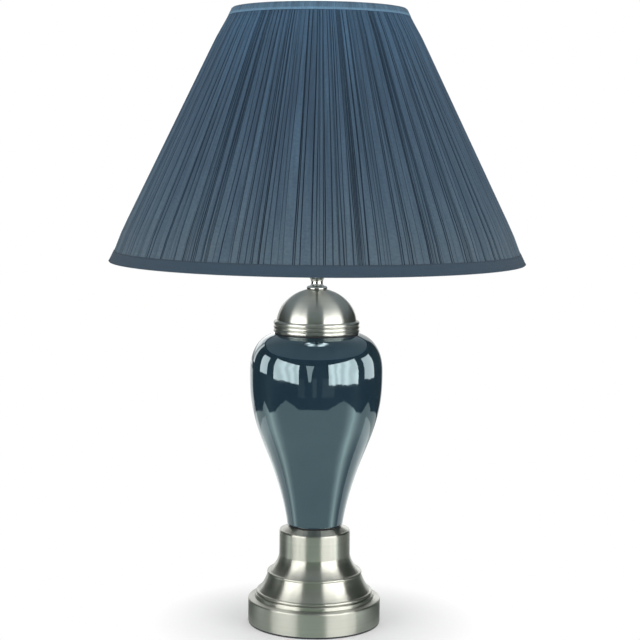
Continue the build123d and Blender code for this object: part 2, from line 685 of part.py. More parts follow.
# Shade: stiff liner, pleated cloth over it and a tape folded over each edge
cover_low = SHADE_BOTTOM_Z + TAPE_T
cover_high = SHADE_TOP_Z - TAPE_T

with BuildPart() as shade_liner:
    with BuildSketch(Plane.XZ):
        with BuildLine():
            Polyline(cone_band(cover_low, cover_high, LINER_INSET, LINER_INSET + LINER_T), close=True)
        make_face()
    revolve(axis=Axis.Z)

bottom_hem_z = SHADE_BOTTOM_Z + BOTTOM_TAPE_H
top_hem_z = SHADE_TOP_Z - TOP_TAPE_H
cover_sections = (
    (cover_low, 0.0),
    (bottom_hem_z, 0.0),
    (bottom_hem_z + COVER_EASE_H, COVER_FULLNESS),
    (top_hem_z - COVER_EASE_H, COVER_FULLNESS),
    (top_hem_z, 0.0),
    (cover_high, 0.0),
)

with BuildPart() as shade_cover:
    for section_z, fullness in cover_sections:
        with BuildSketch(Plane.XY.offset(section_z)):
            with BuildLine():
                Polyline(pleat_outline(section_z, fullness), close=True)
            make_face()
    loft(ruled=True)
    for section_z in (cover_low - 1, cover_high + 1):
        with BuildSketch(Plane.XY.offset(section_z)):
            with BuildLine():
                Polyline(liner_outline(section_z), close=True)
            make_face()
    loft(ruled=True, mode=Mode.SUBTRACT)

with BuildPart() as top_tape:
    with BuildSketch(Plane.XZ):
        with BuildLine():
            Polyline(
                tape_section(
                    SHADE_TOP_Z,
                    SHADE_TOP_Z - TOP_TAPE_H,
                    SHADE_TOP_Z - INNER_TAPE_H,
                    top_ring_r - RING_WIRE_R - TAPE_T - 0.1,
                ),
                close=True,
            )
        make_face()
    revolve(axis=Axis.Z)

with BuildPart() as bottom_tape:
    with BuildSketch(Plane.XZ):
        with BuildLine():
            Polyline(
                tape_section(
                    SHADE_BOTTOM_Z,
                    SHADE_BOTTOM_Z + BOTTOM_TAPE_H,
                    SHADE_BOTTOM_Z + INNER_TAPE_H,
                    bottom_ring_r - RING_WIRE_R - TAPE_T - 0.1,
                ),
                close=True,
            )
        make_face()
    revolve(axis=Axis.Z)

# Finial: a turned knob with a blind hole for the stud
with BuildPart() as finial:
    with BuildSketch(Plane.XZ):
        with BuildLine():
            bore = Polyline(
                (0, STUD_TOP_Z + 0.6),
                (STUD_R + THREAD_CLEARANCE, STUD_TOP_Z + 0.6),
                (STUD_R + THREAD_CLEARANCE, finial_z),
                (FINIAL_FOOT_R, finial_z),
                (FINIAL_FOOT_R, finial_z + 2),
            )
            finial_cove = ThreePointArc(
                bore @ 1, (FINIAL_NECK_R, finial_z + 4.4), (FINIAL_NECK_R + 0.3, knob_neck_z)
            )
            knob = ThreePointArc(finial_cove @ 1, (KNOB_R, LAMP_HEIGHT - KNOB_R), (0, LAMP_HEIGHT))
            Line(knob @ 1, bore @ 0)
        make_face()
    revolve(axis=Axis.Z)

# Bulb: contact, glass insulator, screw cap and frosted envelope
with BuildPart(Plane.XY.offset(bulb_z)) as bulb_contact:
    Cylinder(BULB_CONTACT_R, BULB_CONTACT_T, align=STANDING)
    fillet(bulb_contact.edges().filter_by(GeomType.CIRCLE).sort_by(Axis.Z)[0], 0.6)

insulator_z = bulb_z + BULB_CONTACT_T
bulb_cap_z = insulator_z + BULB_INSULATOR_H
glass_z = bulb_cap_z + BULB_CAP_H

with BuildPart(Plane.XY.offset(insulator_z)) as bulb_insulator:
    Cone(BULB_CONTACT_R, BULB_CAP_R - 1.5, BULB_INSULATOR_H, align=STANDING)

with BuildPart(Plane.XY.offset(bulb_cap_z)) as bulb_cap:
    Cylinder(BULB_CAP_R, BULB_CAP_H, align=STANDING)
    Cylinder(BULB_CAP_R - BULB_CAP_T, BULB_CAP_H, align=STANDING, mode=Mode.SUBTRACT)
    Cylinder(BULB_CAP_R - BULB_CAP_T, BULB_CAP_T, align=STANDING)

with BuildPart() as bulb_glass:
    globe_z = bulb_z + BULB_H - BULB_R
    with BuildSketch(Plane.XZ):
        with BuildLine():
            envelope = Spline(
                (BULB_CAP_R, glass_z),
                (15.2, glass_z + 13),
                (BULB_R, globe_z),
                tangents=[(0.1, 1.0), (0.0, 1.0)],
            )
            crown = CenterArc((0, globe_z), BULB_R, 0, 90)
            crown_inside = CenterArc((0, globe_z), BULB_R - BULB_GLASS_T, 0, 90)
            envelope_inside = Spline(
                (BULB_CAP_R - BULB_GLASS_T, glass_z),
                (14.2, glass_z + 13.3),
                (BULB_R - BULB_GLASS_T, globe_z),
                tangents=[(0.1, 1.0), (0.0, 1.0)],
            )
            Line(envelope @ 0, envelope_inside @ 0)
            Line(crown @ 1, crown_inside @ 1)
        make_face()
    revolve(axis=Axis.Z)

pieces = {
    "felt_pad": felt_pad,
    "base_board": base_board,
    "base_shell": base_shell,
    "base_weight": base_weight,
    "rod_washer": rod_washer,
    "rod_nut": rod_nut,
    "cord_bushing": cord_bushing,
    "rod": rod,
    "vase_gasket": vase_gasket,
    "vase": vase,
    "cap_gasket": cap_gasket,
    "dome_cap": dome_cap,
    "neck": neck,
    "harp_saddle": harp_saddle,
    "saddle_nut": saddle_nut,
    "holder_cap": holder_cap,
    "set_screw": set_screw,
    "holder_shell": holder_shell,
    "holder_sleeve": holder_sleeve,
    "holder_core": holder_core,
    "terminal_screws": terminal_screws,
    "screw_shell": screw_shell,
    "centre_contact": centre_contact,
    "switch_key": switch_key,
    "harp_wire": harp_wire,
    "harp_stud": harp_stud,
    "harp_sleeve_left": harp_sleeve_left,
    "harp_sleeve_right": harp_sleeve_right,
    "spider": spider,
    "bottom_ring": bottom_ring,
    "shade_liner": shade_liner,
    "shade_cover": shade_cover,
    "top_tape": top_tape,
    "bottom_tape": bottom_tape,
    "finial": finial,
    "bulb_contact": bulb_contact,
    "bulb_insulator": bulb_insulator,
    "bulb_cap": bulb_cap,
    "bulb_glass": bulb_glass,
}
for name, piece in pieces.items():
    piece.part.label = name
    export_step(piece.part, f"parts/{name}.step")
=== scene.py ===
"""Dresses a table lamp with a pleated cone shade and stands it in a small white studio."""
import json
import logging
import math
import random
from dataclasses import dataclass
from enum import Enum

import bpy
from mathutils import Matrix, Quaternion, Vector


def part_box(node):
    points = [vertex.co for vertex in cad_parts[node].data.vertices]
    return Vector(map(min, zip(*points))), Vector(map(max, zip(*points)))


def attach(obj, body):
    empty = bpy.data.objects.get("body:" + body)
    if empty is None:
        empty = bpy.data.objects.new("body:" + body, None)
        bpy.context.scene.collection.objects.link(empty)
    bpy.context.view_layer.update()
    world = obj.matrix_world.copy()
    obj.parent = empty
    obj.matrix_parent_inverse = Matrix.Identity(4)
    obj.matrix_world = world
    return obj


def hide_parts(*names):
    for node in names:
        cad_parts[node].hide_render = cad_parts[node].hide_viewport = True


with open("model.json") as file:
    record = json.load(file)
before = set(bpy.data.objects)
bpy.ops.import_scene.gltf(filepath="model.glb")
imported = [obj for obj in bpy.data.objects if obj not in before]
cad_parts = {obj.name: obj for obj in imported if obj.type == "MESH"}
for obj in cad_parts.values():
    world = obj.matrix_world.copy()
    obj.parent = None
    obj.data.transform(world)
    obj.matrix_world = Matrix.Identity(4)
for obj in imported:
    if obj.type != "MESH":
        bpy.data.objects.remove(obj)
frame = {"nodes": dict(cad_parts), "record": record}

LOG = logging.getLogger("table_lamp")
MM = 0.001
SEAM_GAP = 0.004 * MM
Colour = tuple[float, float, float]
Point = tuple[float, float, float]
Span = tuple[float, float]
Socket = bpy.types.NodeSocket
Material = bpy.types.Material
Object = bpy.types.Object
WHITE: Colour = (1.0, 1.0, 1.0)
UMBRELLA_WHITE: Colour = (1.0, 0.97, 0.95)
WALL_GREEN: Colour = (0.6, 1.0, 0.65)
VASE = ("vase",)
DOME = ("dome_cap",)
BASE = ("base_shell",)
TABLE_TOP = 2.0 * MM
TABLE_START = 0.12


class Grain(Enum):
    """Which way the fine lines of a brushed metal run."""

    ROUND = "round"
    NONE = "none"


@dataclass(frozen=True)
class Speckle:
    """A noise: features per unit, octaves, weight of the finer ones, and a scale along and across."""

    scale: float
    detail: float = 3.0
    rough: float = 0.5
    squeeze: Span | None = None


class Bench:
    """Builds the node tree of one material or world."""

    def __init__(self, owner: Material | bpy.types.World, output: str = "OutputMaterial") -> None:
        """Starts an empty tree.

        Args:
            owner: The material or world.
            output: The output node's type without its ShaderNode prefix.
        """
        owner.use_nodes = True
        self.owner = owner
        self.tree = owner.node_tree
        self.tree.nodes.clear()
        self.output = self.add(output)

    def plug(self, socket: Socket, value: object) -> None:
        """Links a socket to another one, or sets it to a constant.

        Args:
            socket: The input to fill.
            value: An output socket, a number or a colour.
        """
        if isinstance(value, bpy.types.NodeSocket):
            self.tree.links.new(value, socket)
        elif isinstance(value, tuple) and socket.type == "RGBA" and len(value) == 3:
            socket.default_value = (*value, 1.0)
        else:
            socket.default_value = value

    def add(self, kind: str, inputs: dict | None = None, **settings: object) -> bpy.types.Node:
        """Adds a node.

        Args:
            kind: The node's type without its ShaderNode prefix.
            inputs: Values by socket name or number.
            **settings: Properties of the node.

        Returns:
            The new node.
        """
        node = self.tree.nodes.new("ShaderNode" + kind)
        for key, value in settings.items():
            setattr(node, key, value)
        for key, value in (inputs or {}).items():
            self.plug(node.inputs[key], value)
        return node

    def place(self) -> Socket:
        """Returns the Object coordinates."""
        return self.add("TexCoord").outputs["Object"]

    def split(self, where: Socket) -> bpy.types.NodeOutputs:
        """Returns the X, Y and Z sockets of a place."""
        return self.add("SeparateXYZ", {0: where}).outputs

    def maths(self, operation: str, first: object, second: object = 0.0) -> Socket:
        """Returns the result of a Math node.

        Args:
            operation: The node's operation.
            first: The first value or socket.
            second: The second value or socket.

        Returns:
            The result's socket.
        """
        return self.add("Math", {0: first, 1: second}, operation=operation).outputs[0]

    def radius(self, parts: bpy.types.NodeOutputs) -> Socket:
        """Returns how far a place lies from the upright axis.

        Args:
            parts: The place's X and Y sockets.

        Returns:
            The radius's socket.
        """
        across = self.maths("MULTIPLY", parts["X"], parts["X"])
        along = self.maths("MULTIPLY", parts["Y"], parts["Y"])
        return self.maths("SQRT", self.maths("ADD", across, along))

    def noise(self, where: Socket, speckle: Speckle) -> Socket:
        """Returns a noise value around a half.

        Args:
            where: The coordinates.
            speckle: The noise's sizes.

        Returns:
            The noise's socket.
        """
        if speckle.squeeze:
            where = self.add("Mapping", {"Vector": where, "Scale": (*speckle.squeeze, 1.0)}).outputs[0]
        sizes = {"Scale": speckle.scale, "Detail": speckle.detail, "Roughness": speckle.rough}
        return self.add("TexNoise", {"Vector": where, **sizes}).outputs["Fac"]

    def spread(self, value: Socket, low: float, high: float, to_low: float, to_high: float) -> Socket:
        """Maps a value from one range to another, clamped.

        Args:
            value: The value.
            low: Where the source range starts.
            high: Where it ends.
            to_low: Result at low.
            to_high: Result at high.

        Returns:
            The mapped socket.
        """
        inputs = {"Value": value, "From Min": low, "From Max": high, "To Min": to_low, "To Max": to_high}
        return self.add("MapRange", inputs).outputs[0]

    def stretch(self, noise: Socket, reach: float, low: float = 0.0, high: float = 1.0) -> Socket:
        """Spreads the middle of a noise over a range.

        Args:
            noise: The noise, around a half.
            reach: How much of it is used on each side of a half.
            low: Where the range starts.
            high: Where it ends.

        Returns:
            The mapped socket.
        """
        return self.spread(noise, 0.5 - reach, 0.5 + reach, low, high)

    def weigh(self, first: Socket, second: Socket, share: float) -> Socket:
        """Returns a share of the first value and the rest of the second.

        Args:
            first: The first value.
            second: The second value.
            share: The first value's share.

        Returns:
            The sum's socket.
        """
        rest = self.maths("MULTIPLY", second, 1.0 - share)
        return self.maths("ADD", self.maths("MULTIPLY", first, share), rest)

    def blend(self, share: object, first: object, second: object) -> Socket:
        """Mixes two colours.

        Args:
            share: How much of the second, from 0 to 1.
            first: The first colour.
            second: The second colour.

        Returns:
            The mixed colour's socket.
        """
        node = self.add("Mix", data_type="RGBA")
        for index, value in ((0, share), (6, first), (7, second)):
            self.plug(node.inputs[index], value)
        return node.outputs[2]

    def bump(self, height: Socket, depth: float, show: float, below: Socket | None = None) -> Socket:
        """Returns a normal that follows a height.

        Args:
            height: The height from 0 to 1.
            depth: Its real depth in metres.
            show: How much of it shows.
            below: A normal to add it to.

        Returns:
            The normal's socket.
        """
        inputs = {"Height": height, "Distance": depth, "Strength": show}
        if below is not None:
            inputs["Normal"] = below
        return self.add("Bump", inputs).outputs[0]

    def end(self, surface: Socket) -> Material | bpy.types.World:
        """Links the surface to the output, and returns the material or world."""
        self.tree.links.new(surface, self.output.inputs["Surface"])
        return self.owner

    def shade(self, **inputs: object) -> Material:
        """Ends the tree in a Principled shader.

        Args:
            **inputs: Values by socket name, with underscores for spaces.

        Returns:
            The finished material.
        """
        named = {key.replace("_", " "): value for key, value in inputs.items()}
        return self.end(self.add("BsdfPrincipled", named).outputs[0])


LINES_AND_BANDS = {
    Grain.ROUND: (Speckle(2600.0, 4.0, 0.65), Speckle(260.0, 2.0, 0.5)),
    Grain.NONE: (Speckle(900.0, 3.0, 0.6), Speckle(70.0, 3.0, 0.55)),
}


@dataclass(frozen=True)
class Metal:
    """A plated or plain metal, brushed round its axis or polished.

    A reach, here and in the other finishes, is how much of a noise counts on each side of a half.
    """

    name: str
    colour: Colour
    shadow: Colour
    roughness: float
    grain: Grain = Grain.NONE
    anisotropy: float = 0.0
    line_depth: float = 0.01 * MM
    line_show: float = 0.35
    line_share: float = 0.65
    line_wear: float = 0.5
    tone_reach: float = 0.14
    wear_reach: float = 0.2
    wear: Span = (0.82, 1.22)
    smudges: Speckle = Speckle(34.0, 4.0, 0.6)
    quarter_turn: float = 0.25

    def build(self) -> Material:
        """Returns the material."""
        bench = Bench(bpy.data.materials.new(self.name))
        where = bench.place()
        grained = where
        if self.grain is Grain.ROUND:
            parts = bench.split(where)
            grained = bench.add("CombineXYZ", {"X": bench.radius(parts), "Z": parts["Z"]}).outputs[0]
        lines, bands = (bench.noise(grained, speckle) for speckle in LINES_AND_BANDS[self.grain])
        tone = bench.stretch(bench.weigh(lines, bands, self.line_share), self.tone_reach)
        worn = bench.weigh(lines, bench.noise(where, self.smudges), self.line_wear)
        smooth, rough = (share * self.roughness for share in self.wear)
        inputs = {
            "Base_Color": bench.blend(tone, self.shadow, self.colour),
            "Metallic": 1.0,
            "Roughness": bench.stretch(worn, self.wear_reach, smooth, rough),
            "Normal": bench.bump(lines, self.line_depth, self.line_show),
        }
        if self.anisotropy:
            tangent = bench.add("Tangent", direction_type="RADIAL", axis="Z").outputs[0]
            inputs.update(
                Anisotropic=self.anisotropy, Anisotropic_Rotation=self.quarter_turn, Tangent=tangent
            )
        return bench.shade(**inputs)


@dataclass(frozen=True)
class Glaze:
    """A deep coloured glaze under a glassy surface."""

    name: str
    colour: Colour
    pooled: Colour
    mirror: Colour
    index: float = 2.0
    roughness: Span = (0.03, 0.06)
    rough_reach: float = 0.2
    tone_reach: float = 0.16
    cloud_share: float = 0.75
    clouds: Speckle = Speckle(18.0, 4.0, 0.55)
    specks: Speckle = Speckle(900.0, 2.0, 0.5)
    ripples: Speckle = Speckle(42.0, 2.0, 0.4)
    ripple_depth: float = 0.12 * MM
    ripple_show: float = 0.3

    def build(self) -> Material:
        """Returns the material."""
        bench = Bench(bpy.data.materials.new(self.name))
        where = bench.place()
        clouds = bench.noise(where, self.clouds)
        share = bench.weigh(clouds, bench.noise(where, self.specks), self.cloud_share)
        ripples = bench.noise(where, self.ripples)
        return bench.shade(
            Base_Color=bench.blend(bench.stretch(share, self.tone_reach), self.pooled, self.colour),
            Roughness=bench.stretch(clouds, self.rough_reach, *self.roughness),
            IOR=self.index,
            Specular_Tint=self.mirror,
            Normal=bench.bump(ripples, self.ripple_depth, self.ripple_show),
        )


@dataclass(frozen=True)
class Cloth:
    """A woven cloth that reads its piece's own flat map, with painted shade in its creases and painted light
    towards its top.
    """

    name: str
    colour: Colour
    # fold is the painted shade colour of the creases
    fold: Colour
    light: Colour
    # high is a painted lighter colour that the lit colour turns into towards the top
    high: Colour
    thread: float = 0.45 * MM
    band_share: float = 0.6
    slub_share: float = 0.7
    tone_share: float = 0.6
    nap_share: float = 0.38
    weave_share: float = 0.14
    plain: float = 0.3
    top_light_range: Span = (0.1, 1.0)
    crest_range: Span = (0.55, 1.15)
    crease_shade_range: Span = (0.42, 0.9)
    nap_reach: float = 0.18
    slub: Speckle = Speckle(1.0, 3.0, 0.6, (900.0, 22.0))
    crepe: Speckle = Speckle(1.0, 3.0, 0.55, (760.0, 360.0))
    bands: Speckle = Speckle(1.0, 2.0, 0.5, (70.0, 6.0))
    weave_depth: float = 0.12 * MM
    weave_show: float = 0.6
    crepe_depth: float = 0.9 * MM
    crepe_show: float = 0.7
    roughness: Span = (0.78, 0.95)
    rough_reach: float = 0.2
    gloss: float = 0.2
    sheen: float = 0.06
    sheen_roughness: float = 0.5

    def build(self, flat: Span) -> Material:
        """Returns the material.

        Args:
            flat: The flat piece's width and height in metres.

        Returns:
            The material for that piece.
        """
        bench = Bench(bpy.data.materials.new(self.name))
        flat_map = bench.add("UVMap", uv_map="flat").outputs[0]
        metres = bench.add("Mapping", {"Vector": flat_map, "Scale": (*flat, 1.0)}).outputs[0]
        parts = bench.split(metres)
        turn = math.tau / self.thread
        warp, weft = (bench.maths("SINE", bench.maths("MULTIPLY", parts[axis], turn)) for axis in "XY")
        weave = bench.spread(bench.maths("MULTIPLY", warp, weft), -1.0, 1.0, 0.0, 1.0)
        slub, crepe, bands = (bench.noise(metres, noise) for noise in (self.slub, self.crepe, self.bands))
        fold = bench.add("Attribute", attribute_name="fold").outputs["Fac"]
        tone = bench.add("Attribute", attribute_name="tone").outputs["Fac"]
        centred = bench.maths("SUBTRACT", bands, 0.5)
        banded = bench.maths("ADD", bench.maths("MULTIPLY", centred, self.band_share), self.plain)
        streaked = bench.maths("ADD", bench.maths("MULTIPLY", slub, self.slub_share), banded)
        crest = bench.maths("ADD", bench.maths("MULTIPLY", tone, self.tone_share), streaked)
        # Painted light: towards the top of the piece the lit colour turns into the brighter high colour.
        height = bench.spread(bench.split(flat_map)["Y"], *self.top_light_range, 0.0, 1.0)
        light = bench.blend(height, self.light, self.high)
        lit = bench.blend(bench.spread(crest, *self.crest_range, 0.0, 1.0), self.colour, light)
        # Painted shade: the creases darken towards the fold colour by the mesh's fold value.
        crease_shaded = bench.blend(bench.spread(fold, *self.crease_shade_range, 0.0, 1.0), self.fold, lit)
        nap = bench.stretch(crepe, self.nap_reach, 0.0, self.nap_share)
        napped = bench.blend(nap, crease_shaded, self.colour)
        threads = bench.spread(weave, 0.0, 1.0, 0.0, self.weave_share)
        grain = bench.bump(weave, self.weave_depth, self.weave_show)
        return bench.shade(
            Base_Color=bench.blend(threads, napped, self.light),
            Roughness=bench.stretch(slub, self.rough_reach, *self.roughness),
            Specular_IOR_Level=self.gloss,
            Normal=bench.bump(crepe, self.crepe_depth, self.crepe_show, grain),
            Sheen_Weight=self.sheen,
            Sheen_Roughness=self.sheen_roughness,
        )


@dataclass(frozen=True)
class Moulded:
    """A plain moulded, painted or fibrous material with a fine grain."""

    name: str
    colour: Colour
    mottle: Colour
    roughness: float
    grain: float = 600.0
    depth: float = 0.04 * MM
    coat: float = 0.0
    sheen: float = 0.0
    show: float = 0.5
    broader: float = 14.0
    fine_share: float = 0.5
    tone_reach: float = 0.14
    wear_reach: float = 0.2
    wear: Span = (0.85, 1.15)
    coat_roughness: float = 0.12

    def build(self) -> Material:
        """Returns the material."""
        bench = Bench(bpy.data.materials.new(self.name))
        where = bench.place()
        fine = bench.noise(where, Speckle(self.grain, detail=4.0, rough=0.6))
        broad = bench.noise(where, Speckle(self.grain / self.broader))
        share = bench.weigh(fine, broad, self.fine_share)
        smooth, rough = (min(1.0, part * self.roughness) for part in self.wear)
        return bench.shade(
            Base_Color=bench.blend(bench.stretch(share, self.tone_reach), self.mottle, self.colour),
            Roughness=bench.stretch(share, self.wear_reach, smooth, rough),
            Normal=bench.bump(fine, self.depth, self.show),
            Coat_Weight=self.coat,
            Coat_Roughness=self.coat_roughness,
            Sheen_Weight=self.sheen,
        )


FINISHES = {
    "felt": Moulded("felt", (0.016, 0.018, 0.024), (0.03, 0.032, 0.04), 0.95, 2400.0, 0.4 * MM, sheen=0.4),
    "board": Moulded("fibre_board", (0.36, 0.25, 0.15), (0.27, 0.18, 0.1), 0.85, 900.0, 0.1 * MM),
    "brushed_nickel": Metal(
        "brushed_nickel", (0.5, 0.5, 0.455), (0.43, 0.445, 0.4), 0.32, Grain.ROUND, 0.98, 0.008 * MM
    ),
    "polished_nickel": Metal("polished_nickel", (0.6, 0.6, 0.56), (0.52, 0.53, 0.49), 0.11),
    "cast_iron": Moulded("cast_iron", (0.035, 0.034, 0.033), (0.06, 0.05, 0.045), 0.7, 500.0, 0.3 * MM),
    "zinc_steel": Metal("zinc_steel", (0.62, 0.63, 0.64), (0.5, 0.5, 0.5), 0.3),
    "black_rubber": Moulded("black_rubber", (0.012, 0.012, 0.013), (0.022, 0.022, 0.022), 0.8, 1500.0),
    "black_plastic": Moulded("black_plastic", (0.012, 0.012, 0.013), (0.018, 0.018, 0.019), 0.42, 1200.0),
    "blue_glaze": Glaze("blue_glaze", (0.016, 0.036, 0.052), (0.01, 0.026, 0.042), (0.72, 0.95, 1.0)),
    "plated_brass": Metal("plated_brass", (0.72, 0.56, 0.28), (0.6, 0.45, 0.21), 0.24),
    "insulating_paper": Moulded(
        "insulating_paper", (0.2, 0.15, 0.1), (0.15, 0.11, 0.07), 0.9, 700.0, 0.1 * MM
    ),
    "phenolic": Moulded("phenolic", (0.014, 0.012, 0.011), (0.024, 0.02, 0.018), 0.35, 800.0),
    "white_wire": Moulded("white_enamel", (0.78, 0.77, 0.73), (0.72, 0.71, 0.67), 0.35, 400.0, coat=0.3),
    # Painted light: the liner's pale bluish grey stands in for light coming through the blue cloth onto a
    # white liner.
    "shade_liner": Moulded("liner_with_painted_blue_light", (0.54, 0.6, 0.65), (0.5, 0.56, 0.61), 0.55, 300.0, 0.02 * MM),
    "bulb_glass": Moulded(
        "frosted_glass", (0.9, 0.9, 0.87), (0.86, 0.86, 0.83), 0.4, 1500.0, 0.01 * MM, coat=0.5
    ),
    "bulb_metal": Metal("bulb_metal", (0.75, 0.75, 0.76), (0.66, 0.66, 0.67), 0.25),
}


def tape_cloth(name: str, light: Colour) -> Cloth:
    """Returns the finish of a binding tape, in its own lit colour."""
    dark, fold = (0.04, 0.068, 0.1), (0.02, 0.035, 0.055)
    return Cloth(name, dark, fold, light, light, thread=0.7 * MM, band_share=0.3)


CLOTHS = {
    "pleated_cover": Cloth(
        "pleated_cloth",
        colour=(0.029, 0.059, 0.1),
        # fold is the painted crease shade and high the painted light towards the top
        fold=(0.005, 0.014, 0.034),
        light=(0.1, 0.15, 0.19),
        high=(0.08, 0.185, 0.315),
    ),
    # Painted light: the top tape's lit colour is far brighter than the bottom tape's, though both are the same
    # tape.
    "top_binding": tape_cloth("top_binding_cloth", (0.16, 0.31, 0.46)),
    "bottom_binding": tape_cloth("bottom_binding_cloth", (0.042, 0.072, 0.104)),
}


def grid_piece(name: str, columns: int, rows: int) -> Object:
    """Adds a flat grid with a flat map and nothing else selected.

    Args:
        name: The piece's name.
        columns: Faces along the grid's width.
        rows: Faces along its height.

    Returns:
        The grid, one metre square.
    """
    bpy.ops.object.select_all(action="DESELECT")
    bpy.ops.mesh.primitive_grid_add(x_subdivisions=columns, y_subdivisions=rows, size=1.0)
    piece = bpy.context.active_object
    piece.name = name
    piece.data.name = name
    piece.data.uv_layers[0].name = "flat"
    return piece


def grid_place(vertex: bpy.types.MeshVertex, columns: int, rows: int) -> tuple[int, int]:
    """Returns the column and row of a fresh grid's vertex.

    Args:
        vertex: The vertex.
        columns: Faces along the grid's width.
        rows: Faces along its height.

    Returns:
        The column and the row, counted from the lower left.
    """
    return round((vertex.co.x + 0.5) * columns), round((vertex.co.y + 0.5) * rows)


def ring_point(radius: float, angle: float, height: float) -> Point:
    """Returns a point round the lamp's axis, at an angle in radians."""
    return radius * math.cos(angle), radius * math.sin(angle), height


def stage_point(turn: float, far: float, height: float) -> Point:
    """Returns a point of the studio, some degrees to the right of the camera's side."""
    angle = math.radians(turn)
    return far * math.sin(angle), -far * math.cos(angle), height


def write_values(piece: Object, name: str, values: list[float]) -> None:
    """Keeps a value with each of a piece's vertices, for its material to read."""
    piece.data.attributes.new(name, "FLOAT", "POINT").data.foreach_set("value", values)


def close_sheet(piece: Object, thickness: float) -> None:
    """Closes the seam of a rolled grid, turns it outwards and thickens it on the inner side.

    Args:
        piece: The rolled grid, which is the active object.
        thickness: In metres.
    """
    bpy.ops.object.mode_set(mode="EDIT")
    bpy.ops.mesh.select_all(action="SELECT")
    bpy.ops.mesh.remove_doubles(threshold=SEAM_GAP)
    bpy.ops.mesh.normals_make_consistent(inside=False)
    bpy.ops.object.mode_set(mode="OBJECT")
    bpy.ops.object.shade_smooth()
    solid = piece.modifiers.new("thickness", "SOLIDIFY")
    solid.thickness = thickness
    solid.offset = -1.0
    bpy.ops.object.modifier_apply(modifier=solid.name)


@dataclass(frozen=True)
class Pleat:
    """One pleat: where it lies round the shade and how it stands."""

    start: float
    wander: float
    depth: float
    crease: float
    lean: float
    tone: float
    phase: float
    pace: float
    shadow: float
    swell: float = 0.22
    swell_pace: float = 1.7
    swell_phase: float = 3.0
    crown: float = 0.2

    def edge(self, share: float) -> float:
        """Returns the angle at which the pleat starts, at a share of the shade's height."""
        return self.start + self.wander * math.sin(self.pace * share + self.phase)

    def stand(self, share: float) -> float:
        """Returns how much of its depth the pleat has at a share of the shade's height."""
        wave = math.sin(self.swell_pace * self.pace * share + self.swell_phase * self.phase)
        return self.depth * (1.0 - self.swell + self.swell * wave)

    def section(self, step: int, steps: int) -> Span:
        """Returns a point of the pleat's section, from its crease over its flat crest.

        Args:
            step: The point's number, 0 in the crease.
            steps: Points of one pleat.

        Returns:
            How far along the pleat the point lies, and how far it is sunk, both from 0 to 1.
        """
        if step == 0:
            return 0.0, 1.0
        even = (step - 1) / (steps - 2)
        eased = even * even * (3.0 - 2.0 * even)
        along = self.crease + (1.0 - 2.0 * self.crease) * eased
        crown = self.crown * abs(2.0 * eased - 1.0) ** 3
        tilt = abs(self.lean) * (eased if self.lean > 0.0 else 1.0 - eased)
        return along, crown + tilt

    def lip(self, step: int, steps: int) -> float:
        """Returns 1 on the edge of the crease that catches the light, and 0 elsewhere."""
        return 1.0 if step == (1 if self.lean > 0.0 else steps - 1) else 0.0

    def flank(self, step: int, steps: int) -> float:
        """Returns how much of the light the flank in the pleat's own shadow keeps, and 1 elsewhere."""
        return 1.0 - self.shadow if step == (steps - 1 if self.lean > 0.0 else 1) else 1.0


